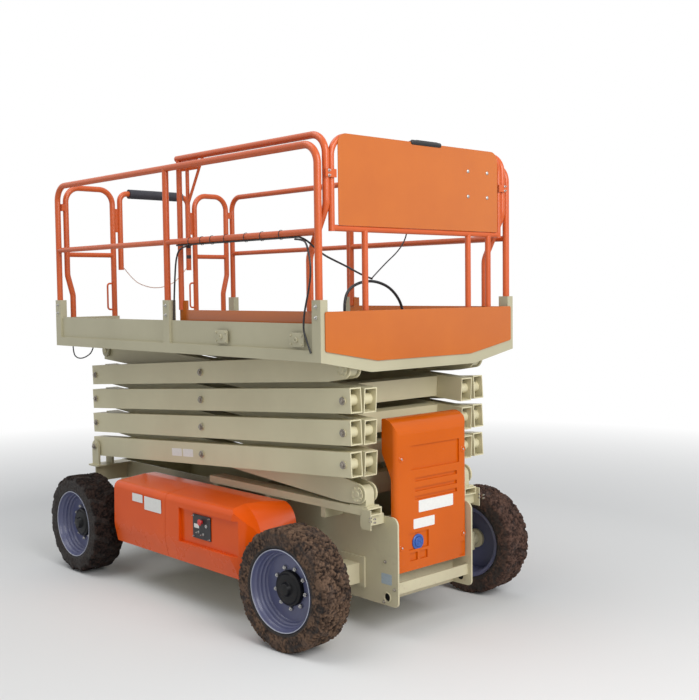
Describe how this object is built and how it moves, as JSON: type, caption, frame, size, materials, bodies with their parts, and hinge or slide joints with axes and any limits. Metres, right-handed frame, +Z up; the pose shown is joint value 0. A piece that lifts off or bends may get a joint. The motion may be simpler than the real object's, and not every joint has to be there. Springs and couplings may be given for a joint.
{
  "type": "rough-terrain electric scissor lift",
  "caption": "Rough-terrain scissor lift: wheeled chassis with crossed arm levels, lift cylinder, railed platform and roll-out deck.",
  "frame": {"origin": "centre of the footprint, on the ground", "axes": "+X towards the steered end, +Y across towards the far side, +Z up"},
  "size_m": [3.077, 1.8976, 2.877],
  "materials": {
    "cream_paint": "gloss",
    "orange_paint": "gloss",
    "orange_moulding": "gloss",
    "rim_paint": "satin",
    "tyre_rubber": "muddy",
    "dark_steel": "satin",
    "rod_chrome": "polished",
    "floor_steel": "tread",
    "black_moulding": "satin",
    "black_cable": "satin",
    "pad_foam": "matte",
    "chain_steel": "zinc"
  },
  "bodies": {
    "chassis": {"chassis_frame": "cream_paint", "slide_tracks": "cream_paint", "rear_axle": "cream_paint", "front_axle": "cream_paint", "rear_side_covers": "orange_moulding", "front_side_covers": "orange_moulding", "ground_panel": "black_moulding", "battery_packs": "dark_steel", "end_cover": "orange_moulding", "ladder": "cream_paint"},
    "platform": {"platform_frame": "cream_paint", "main_floor": "floor_steel", "side_rails": "orange_paint", "gate_rails": "orange_paint", "gate_header": "orange_paint", "header_pad": "pad_foam", "rail_cable": "black_cable", "rear_drop": "black_cable", "front_drop": "black_cable", "control_lead": "black_cable", "under_hose": "black_cable", "gate_chain": "chain_steel"},
    "extension": {"extension_floor": "floor_steel", "front_panel": "orange_paint", "extension_rails": "orange_paint", "guard_frame": "orange_paint", "guard_sheet": "orange_paint", "manual_box": "black_moulding", "control_box": "black_moulding", "control_loop": "black_cable", "control_riser": "black_cable"},
    "lower_slides": {"lower_slides": "cream_paint"},
    "upper_slides": {"upper_slides": "cream_paint"},
    "lift_barrel": {"lift_barrel": "cream_paint"},
    "lift_rod": {"lift_rod": "rod_chrome"},
    "steer_near": {"knuckle_near": "dark_steel"},
    "steer_far": {"knuckle_far": "dark_steel"},
    "tie_rod": {"tie_rod": "dark_steel"},
    "wheel_rear_near": {"tyre_rear_near": "tyre_rubber", "rim_rear_near": "rim_paint"},
    "wheel_rear_far": {"tyre_rear_far": "tyre_rubber", "rim_rear_far": "rim_paint"},
    "wheel_front_near": {"tyre_front_near": "tyre_rubber", "rim_front_near": "rim_paint"},
    "wheel_front_far": {"tyre_front_far": "tyre_rubber", "rim_front_far": "rim_paint"},
    "outer_1": {"outer_arms_1": "cream_paint"},
    "inner_1": {"inner_arms_1": "cream_paint"},
    "outer_2": {"outer_arms_2": "cream_paint"},
    "inner_2": {"inner_arms_2": "cream_paint"},
    "outer_3": {"outer_arms_3": "cream_paint"},
    "inner_3": {"inner_arms_3": "cream_paint"},
    "outer_4": {"outer_arms_4": "cream_paint"},
    "inner_4": {"inner_arms_4": "cream_paint"}
  },
  "joints": [
    {"name": "lift", "type": "hinge", "parent": "chassis", "child": "outer_1", "pos_m": [-1.411, 0, 0.853], "axis": [0, -1, 0], "range_deg": [0, 51.01]},
    {"name": "cross_1", "type": "hinge", "parent": "outer_1", "child": "inner_1", "pos_m": [-0.02594, 0, 0.9433], "axis": [0, -1, 0], "range_deg": [-102.07, 0.05]},
    {"name": "link_2", "type": "hinge", "parent": "inner_1", "child": "outer_2", "pos_m": [-1.411, 0, 1.0336], "axis": [0, -1, 0], "range_deg": [-0.05, 102.07]},
    {"name": "cross_2", "type": "hinge", "parent": "outer_2", "child": "inner_2", "pos_m": [-0.02594, 0, 1.1239], "axis": [0, -1, 0], "range_deg": [-102.07, 0.05]},
    {"name": "link_3", "type": "hinge", "parent": "inner_2", "child": "outer_3", "pos_m": [-1.411, 0, 1.2142], "axis": [0, -1, 0], "range_deg": [-0.05, 102.07]},
    {"name": "cross_3", "type": "hinge", "parent": "outer_3", "child": "inner_3", "pos_m": [-0.02594, 0, 1.3045], "axis": [0, -1, 0], "range_deg": [-102.07, 0.05]},
    {"name": "link_4", "type": "hinge", "parent": "inner_3", "child": "outer_4", "pos_m": [-1.411, 0, 1.3948], "axis": [0, -1, 0], "range_deg": [-0.05, 102.07]},
    {"name": "cross_4", "type": "hinge", "parent": "outer_4", "child": "inner_4", "pos_m": [-0.02594, 0, 1.4851], "axis": [0, -1, 0], "range_deg": [-102.07, 0.05]},
    {"name": "platform_pivot", "type": "hinge", "parent": "inner_4", "child": "platform", "pos_m": [-1.411, 0, 1.5754], "axis": [0, -1, 0], "range_deg": [-0.05, 51.06]},
    {"name": "lower_slide_pivot", "type": "hinge", "parent": "inner_1", "child": "lower_slides", "pos_m": [1.35912, 0, 0.853], "axis": [0, -1, 0], "range_deg": [-0.05, 51.06]},
    {"name": "upper_slide_pivot", "type": "hinge", "parent": "outer_4", "child": "upper_slides", "pos_m": [1.35912, 0, 1.5754], "axis": [0, -1, 0], "range_deg": [-51.06, 0.05]},
    {"name": "barrel_pivot", "type": "hinge", "parent": "inner_1", "child": "lift_barrel", "pos_m": [1.08969, 0, 0.87057], "axis": [0, -1, 0], "range_deg": [-13.06, 0.05]},
    {"name": "rod_slide", "type": "slide", "parent": "lift_barrel", "child": "lift_rod", "axis": [-0.9899, 0, 0.1419], "range_m": [-0.002, 2.03479]},
    {"name": "steer_near", "type": "hinge", "parent": "chassis", "child": "steer_near", "pos_m": [1.17, -0.723, 0.34771], "axis": [0, 0, 1], "range_deg": [-35.5, 24.5]},
    {"name": "steer_far", "type": "hinge", "parent": "chassis", "child": "steer_far", "pos_m": [1.17, 0.723, 0.34771], "axis": [0, 0, 1], "range_deg": [-35.55, 24.55]},
    {"name": "tie_rod_near", "type": "hinge", "parent": "steer_near", "child": "tie_rod", "pos_m": [1.03065, -0.73642, 0.38171], "axis": [0, 0, 1], "range_deg": [-24.55, 35.55]},
    {"name": "spin_rear_near", "type": "hinge", "parent": "chassis", "child": "wheel_rear_near", "pos_m": [-1.1816, -0.8005, 0.34771], "axis": [0, 1, 0], "continuous": true},
    {"name": "spin_rear_far", "type": "hinge", "parent": "chassis", "child": "wheel_rear_far", "pos_m": [-1.1816, 0.8005, 0.34771], "axis": [0, 1, 0], "continuous": true},
    {"name": "spin_front_near", "type": "hinge", "parent": "steer_near", "child": "wheel_front_near", "pos_m": [1.17, -0.723, 0.34771], "axis": [-0.0958, 0.9954, 0], "continuous": true},
    {"name": "spin_front_far", "type": "hinge", "parent": "steer_far", "child": "wheel_front_far", "pos_m": [1.17, 0.723, 0.34771], "axis": [-0.0958, 0.9954, 0], "continuous": true},
    {"name": "deck_rollout", "type": "slide", "parent": "platform", "child": "extension", "axis": [1, 0, 0], "range_m": [0, 1.2]}
  ],
  "couplings": [
    {"joint": "cross_1", "follows": "lift", "ratio": -2},
    {"joint": "link_2", "follows": "lift", "ratio": 2},
    {"joint": "cross_2", "follows": "lift", "ratio": -2},
    {"joint": "link_3", "follows": "lift", "ratio": 2},
    {"joint": "cross_3", "follows": "lift", "ratio": -2},
    {"joint": "link_4", "follows": "lift", "ratio": 2},
    {"joint": "cross_4", "follows": "lift", "ratio": -2},
    {"joint": "platform_pivot", "follows": "lift", "ratio": 1},
    {"joint": "lower_slide_pivot", "follows": "lift", "ratio": 1},
    {"joint": "upper_slide_pivot", "follows": "lift", "ratio": -1},
    {"joint": "barrel_pivot", "follows": "lift", "ratio": -0.25499},
    {"joint": "rod_slide", "follows": "lift", "m_per_rad": 2.2833},
    {"joint": "steer_far", "follows": "steer_near", "ratio": 1},
    {"joint": "tie_rod_near", "follows": "steer_near", "ratio": -1}
  ]
}
